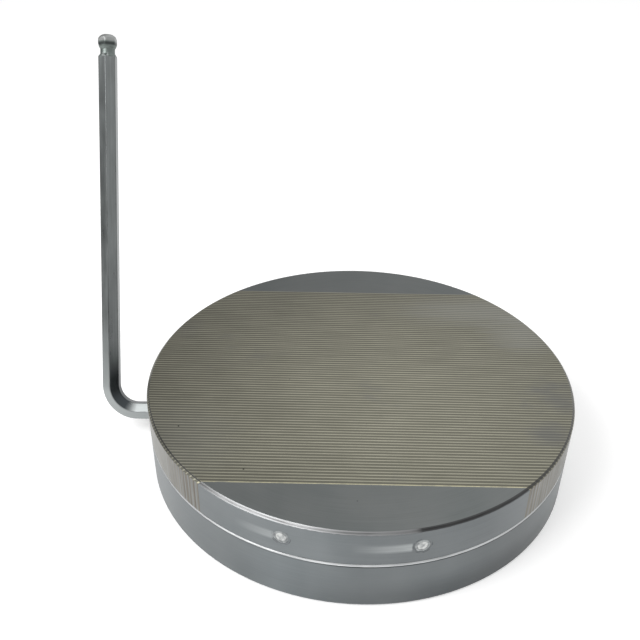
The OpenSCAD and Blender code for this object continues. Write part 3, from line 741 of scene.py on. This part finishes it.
# The key is the rounded hexagon carried along a straight, a quarter circle and a straight. Along
# the way the outline is cut down to a circle, whose radius shapes the bevelled end, the neck and
# the ball: a square root law for the ball, and a smooth step from the neck out to the flats.
def makeKey():
    shape, runs = keyShape, keyRuns()
    flats, bend = shape["acrossFlats"], shape["bend"]
    ball, centre, tipPlace = runs["ball"], runs["centre"], runs["tip"]
    shortArm, bendLength = runs["shortArm"], runs["bendLength"]
    neckTop = centre - shape["neckDrop"]
    neckLow = centre - shape["neckEnd"]
    way = np.concatenate([
        np.linspace(0, shape["endBevel"], 4),
        np.linspace(shape["endBevel"], shortArm, 6)[1:],
        shortArm + np.linspace(0, bendLength, 25)[1:],
        np.linspace(shortArm + bendLength, neckLow - 2 * mm, 24)[1:],
        np.linspace(neckLow - 2 * mm, neckTop, 14)[1:],
        np.linspace(neckTop, tipPlace - shape["tipRound"], 30)[1:],
        [tipPlace - 0.12 * mm, tipPlace - 0.04 * mm, tipPlace],
    ])
    bevel = ball - shape["endBevel"] + np.minimum(way, shape["endBevel"])
    slope = np.clip((way - neckLow) / (neckTop - neckLow), 0, 1)
    ease = slope * slope * (3 - 2 * slope)
    neck, widest = shape["neck"] * ball, ball + shape["neckFlare"]
    shank = widest - (widest - neck) * ease
    above = (way - centre) / np.where(way > centre, shape["domeHeight"], shape["underside"])
    onBall = np.sqrt(np.maximum(ball ** 2 - above ** 2, 0))
    upper = np.maximum(onBall, np.where(way < centre, neck, 0))
    cut = np.minimum(np.where(way < neckTop, shank, upper), bevel)
    cut -= np.clip(way - (tipPlace - shape["tipRound"]), 0, 1) ** 2 * shape["tipCurve"]
    outline = roundedHexagon(flats, shape["edgeRound"])
    length = np.linalg.norm(outline, axis=1)
    scale = np.minimum(1.0, cut[:, None] / length[None])
    section = outline[None] * scale[..., None]
    turn = np.clip((way - shortArm) / bend, 0, math.pi / 2)
    upright = np.maximum(way - shortArm - bendLength, 0)
    pathX = keyHigh.x - np.minimum(way, shortArm) - bend * np.sin(turn)
    pathZ = bend * (1 - np.cos(turn)) + upright
    localX = pathX[:, None] - np.sin(turn)[:, None] * section[..., 0]
    localZ = pathZ[:, None] - np.cos(turn)[:, None] * section[..., 0]
    localY = section[..., 1]
    lean = shape["lean"]
    points = np.stack([
        localX,
        shaftY + localY * math.cos(lean) + localZ * math.sin(lean),
        shaftZ - localY * math.sin(lean) + localZ * math.cos(lean),
    ], axis=-1)
    edges = np.linalg.norm(np.roll(outline, -1, axis=0) - outline, axis=1)
    around = np.concatenate([[0.0], np.cumsum(edges)[:-1]])
    mesh = surfaceMesh("keyBar", points, around, way)
    piece = addPiece("keyBar", mesh, makeKeySteel(edges.sum()), "key")
    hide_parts("hex_key")
    print("key swept:", len(mesh.polygons), "faces")
    return piece


makeKey()

rodShape = {
    "dome": 0.22 * mm,            # how far the hammered end stands proud of the wall
    "domeShare": 0.87,            # and out to which share of its radius
    "endRound": 0.35 * mm,
    "collarRound": 0.32 * mm,
    "boreRound": 0.15 * mm,
    "seat": 7.0 * mm,             # depth of the collar's seat
    "columns": 72,
    "patchScale": 520.0,
    "dentScale": 900.0,
    "dentDepth": 0.12 * mm,
    "tone": (0.56, 0.57, 0.56),
    "toneDark": (0.33, 0.34, 0.34),
    "collarTone": (0.33, 0.345, 0.345),
    "collarDark": (0.20, 0.21, 0.215),
}


# Hammered bright metal: patches of two tones with dents between them
def makeHammered(name, tone, darkTone):
    material, tree, shader = startMaterial(name, metal)
    place = placeOf(tree)
    patches = noise(tree, place["point"], rodShape["patchScale"], 3.0, 0.55)
    dents = noise(tree, place["point"], rodShape["dentScale"], 2.0, 0.5)
    colour = mixColour(tree, remap(tree, patches, 0.38, 0.58), darkTone, tone)
    roughness = remap(tree, dents, *wideRange, 0.28, 0.45)
    finishMaterial(tree, shader, colour, roughness, dents, rodShape["dentDepth"], 0.6)
    return material


# Points of a bar or ring about a tie rod's axis. Each row has a distance from that axis, and lies
# either on the chuck's wall, raised or sunk by its height, or on a plane across the axis. What is
# raised waves three and five times round the axis, as hammer blows leave it.
def rodPoints(rodX, side, distance, height, onWall, planeY):
    turn = np.linspace(0, 2 * math.pi, rodShape["columns"], endpoint=False)
    x = rodX + distance[:, None] * np.cos(turn)
    z = rodZ + distance[:, None] * np.sin(turn)
    wavy = 1 + 0.22 * np.sin(3 * turn + rodX * 90) + 0.15 * np.sin(5 * turn + 1.3)
    lift = np.where(height[:, None] > 0, height[:, None] * wavy, height[:, None])
    wallY = np.sqrt((discRadius + lift) ** 2 - x ** 2)
    return np.stack([x, side * np.where(onWall[:, None], wallY, planeY), z], axis=-1)


# Each rod is one closed bar: a hammered dome with a rounded rim at either end, and a straight shank
def makeTieRods():
    radius = rodRadius
    share = np.array([0.02, 0.2, 0.4, 0.6, 0.75, 0.86])
    steps = np.radians(np.array([0, 15, 30, 45, 60, 75, 90]))
    rim = rodShape["endRound"]
    distance = np.concatenate([share * radius, radius - rim + rim * np.sin(steps)])
    dome = rodShape["dome"] * (1 - (share / rodShape["domeShare"]) ** 2)
    height = np.concatenate([dome, -rim * (1 - np.cos(steps))])
    onWall = np.ones(len(distance), dtype=bool)
    hammered = makeHammered("hammeredRodEnd", rodShape["tone"], rodShape["toneDark"])
    for count, rodX in enumerate(rodPlaces):
        front = rodPoints(rodX, -1, distance, height, onWall, 0.0)
        rear = rodPoints(rodX, 1, distance, height, onWall, 0.0)
        mesh = surfaceMesh("tieRod" + str(count + 1), np.concatenate([front, rear[::-1]]))
        piece = addPiece(mesh.name, mesh, hammered, "base")
        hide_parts("tie_rods")


# Each collar is a closed ring: a wall face with both rims rounded, the outside, the seat, the bore
def makeCollars():
    inside = rodRadius
    outside = (collarHigh.z - collarLow.z) / 2
    steps = np.radians(np.array([0, 22.5, 45, 67.5, 90]))
    rim, small = rodShape["collarRound"], rodShape["boreRound"]
    atBore = inside + small - small * np.cos(steps)
    atRim = outside - rim + rim * np.sin(steps)
    distance = np.concatenate([atBore, atRim, [outside, inside]])
    height = np.concatenate([-small * (1 - np.sin(steps)), -rim * (1 - np.cos(steps)), [0.0, 0.0]])
    onWall = np.array([True] * (2 * len(steps)) + [False, False])
    ringSteel = makeHammered("trimmedCollar", rodShape["collarTone"], rodShape["collarDark"])
    for count, (rodX, side) in enumerate([(rodX, side) for rodX in rodPlaces for side in (-1, 1)]):
        seatY = math.sqrt(discRadius ** 2 - rodX ** 2) - rodShape["seat"]
        points = rodPoints(rodX, side, distance, height, onWall, seatY)
        mesh = surfaceMesh("rodCollar" + str(count + 1), points, ring=True)
        piece = addPiece(mesh.name, mesh, ringSteel, "base")
        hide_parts("tie_rod_collars")


makeTieRods()
makeCollars()
print("tie rods and collars made")


wallSteel = makeWallSteel()
plateSteel = makePlateSteel()
steelStrip = makeLamination("steelStrip", laminationLooks["steel"], laminationLooks["steelDark"],
                            laminationLooks["steelWall"])
brassStrip = makeLamination("brassStrip", laminationLooks["brass"], laminationLooks["brassDark"],
                            laminationLooks["brassWall"])
hardSteel = makeMachined("hardenedSteel", (0.55, 0.56, 0.57), (0.40, 0.41, 0.42), 0.2, 0.35)
blackScrew = makeMachined("blackOxide", (0.06, 0.06, 0.065), (0.03, 0.03, 0.033), 0.35, 0.55)
bronze = makeMachined("bronze", (0.60, 0.40, 0.20), (0.42, 0.26, 0.12), 0.3, 0.45)
alloy = makeMachined("carrierAlloy", (0.68, 0.69, 0.70), (0.55, 0.56, 0.57), 0.3, 0.45)
ferrite = makeMachined("sinteredMagnet", (0.07, 0.07, 0.075), (0.04, 0.04, 0.043), 0.6, 0.8, 0.3)
rubber = makeMachined("sealRubber", (0.03, 0.03, 0.03), (0.018, 0.018, 0.018), 0.55, 0.75, 0.0)

finishes = {
    "pole_segment_front": plateSteel, "pole_segment_rear": plateSteel,
    "steel_laminations": steelStrip, "brass_laminations": brassStrip,
    "tie_rods": hardSteel, "tie_rod_collars": hardSteel,
    "plate_screws": blackScrew, "plate_dowels": hardSteel, "plate_seal": rubber,
    "base_housing": wallSteel, "slide_strips": bronze, "guide_keys": bronze,
    "guide_key_screws": blackScrew, "front_bush": bronze, "rear_bush": bronze,
    "stop_posts": hardSteel, "operating_shaft": hardSteel, "shaft_seal": rubber,
    "shaft_circlip": blackScrew, "stop_pin": hardSteel, "magnet_carrier": alloy,
    "pack_pole_bars": hardSteel, "pack_magnets": ferrite, "pack_rails": bronze,
    "rail_screws": blackScrew, "drive_blocks": bronze, "drive_block_screws": blackScrew,
    "hex_key": hardSteel,
}
for nodeName, finish in finishes.items():
    part = nodes[nodeName]
    part.data.materials.clear()
    part.data.materials.append(finish)
print("materials on", len(finishes), "CAD nodes")


studio = {
    "floorTone": (0.90, 0.90, 0.90),
    "floorGlow": 0.29,
    "floorSize": 6.0,
    "floorDrop": 0.1 * mm,
    "below": 0.75,        # brightness of the surroundings below the horizon
    "horizon": 0.46,
    "above": 1.12,
    # brightness of the surroundings by direction: along X from -1 to 1, then along Y
    "sideways": [(-1.0, 0.46), (-0.6, 0.42), (-0.32, 0.40), (-0.12, 0.58), (0.1, 0.80),
                 (0.4, 0.92), (1.0, 1.0)],
    "backwards": [(-1.0, 0.66), (-0.3, 0.72), (0.8, 1.0)],
    "level": 1.42,
}
# Name, azimuth and elevation in degrees, distance, side and power of each softbox
softboxes = [
    ("softboxLeft", -147, 46, 1.2, 0.7, 9.0),
    ("softboxRight", 24, 22, 1.5, 0.8, 1.0),
]


def makeFloor():
    half = studio["floorSize"] / 2
    mesh = bpy.data.meshes.new("floor")
    corners = [(-half, -half, 0), (half, -half, 0), (half, half, 0), (-half, half, 0)]
    mesh.from_pydata(corners, [], [(0, 1, 2, 3)])
    floor = bpy.data.objects.new("floor", mesh)
    scene.collection.objects.link(floor)
    settings = {"Roughness": 0.9, "Base Color": (*studio["floorTone"], 1),
                "Emission Color": (1, 1, 1, 1), "Emission Strength": studio["floorGlow"]}
    material, tree, shader = startMaterial("paleFloor", settings)
    mesh.materials.append(material)
    floor.location.z = cadLow.z - studio["floorDrop"]


# Surroundings that grow brighter from the horizon to the zenith, towards +X and towards the back
def makeSurroundings():
    world = bpy.data.worlds.new("surroundings")
    world.use_nodes = True
    tree = world.node_tree
    tree.nodes.clear()
    direction = add(tree, "ShaderNodeTexCoord").outputs["Generated"]
    sideways, backwards, height = add(tree, "ShaderNodeSeparateXYZ", {0: direction}).outputs
    rise = remap(tree, height, 0.0, 1.0, studio["horizon"], studio["above"])
    level = calc(tree, "MULTIPLY", rise, ramp(tree, sideways, studio["sideways"]))
    level = calc(tree, "MULTIPLY", level, ramp(tree, backwards, studio["backwards"]))
    level = calc(tree, "MULTIPLY", level, studio["level"])
    level = calc(tree, "MAXIMUM", level, remap(tree, height, -0.3, 0.0, studio["below"], 0.0))
    back = add(tree, "ShaderNodeBackground", {"Color": (1, 1, 1, 1), "Strength": level})
    output = tree.nodes.new("ShaderNodeOutputWorld")
    tree.links.new(back.outputs[0], output.inputs[0])
    scene.world = world


def addSoftbox(name, azimuth, elevation, distance, size, energy):
    a, e = math.radians(azimuth), math.radians(elevation)
    away = Vector((math.cos(a) * math.cos(e), math.sin(a) * math.cos(e), math.sin(e)))
    lamp = bpy.data.lights.new(name, "AREA")
    lamp.shape = "SQUARE"
    lamp.size = size
    lamp.energy = energy
    holder = bpy.data.objects.new(name, lamp)
    holder.location = away * distance
    holder.rotation_mode = "QUATERNION"
    holder.rotation_quaternion = (-away).to_track_quat("-Z", "Y")
    holder.visible_camera = False
    scene.collection.objects.link(holder)


view = {
    "place": (-0.0201, -0.3954, 0.3488),
    "yaw": math.radians(-0.555),
    "pitch": math.radians(33.218),
    "roll": math.radians(0.725),
    "lens": 46.48,
    "sensor": 36.0,
}


# The camera looks along the yaw and down by the pitch, then rolls about that line
def makeCamera():
    yaw, pitch, roll = view["yaw"], view["pitch"], view["roll"]
    flat = math.cos(pitch)
    forward = Vector((flat * math.sin(yaw), flat * math.cos(yaw), -math.sin(pitch)))
    level = Vector((math.cos(yaw), -math.sin(yaw), 0))
    rise = level.cross(forward)
    right = math.cos(roll) * level + math.sin(roll) * rise
    up = -math.sin(roll) * level + math.cos(roll) * rise
    lens = bpy.data.cameras.new("camera")
    lens.lens = view["lens"]
    lens.sensor_width = view["sensor"]
    lens.clip_start = 0.01
    camera = bpy.data.objects.new("camera", lens)
    turned = Matrix((right, up, -forward)).transposed().to_4x4()
    camera.matrix_world = Matrix.Translation(view["place"]) @ turned
    scene.collection.objects.link(camera)
    scene.camera = camera


makeFloor()
makeSurroundings()
for name, azimuth, elevation, distance, size, energy in softboxes:
    addSoftbox(name, azimuth, elevation, distance, size, energy)
makeCamera()
scene.view_settings.view_transform = "Standard"
print("floor, light and camera set")
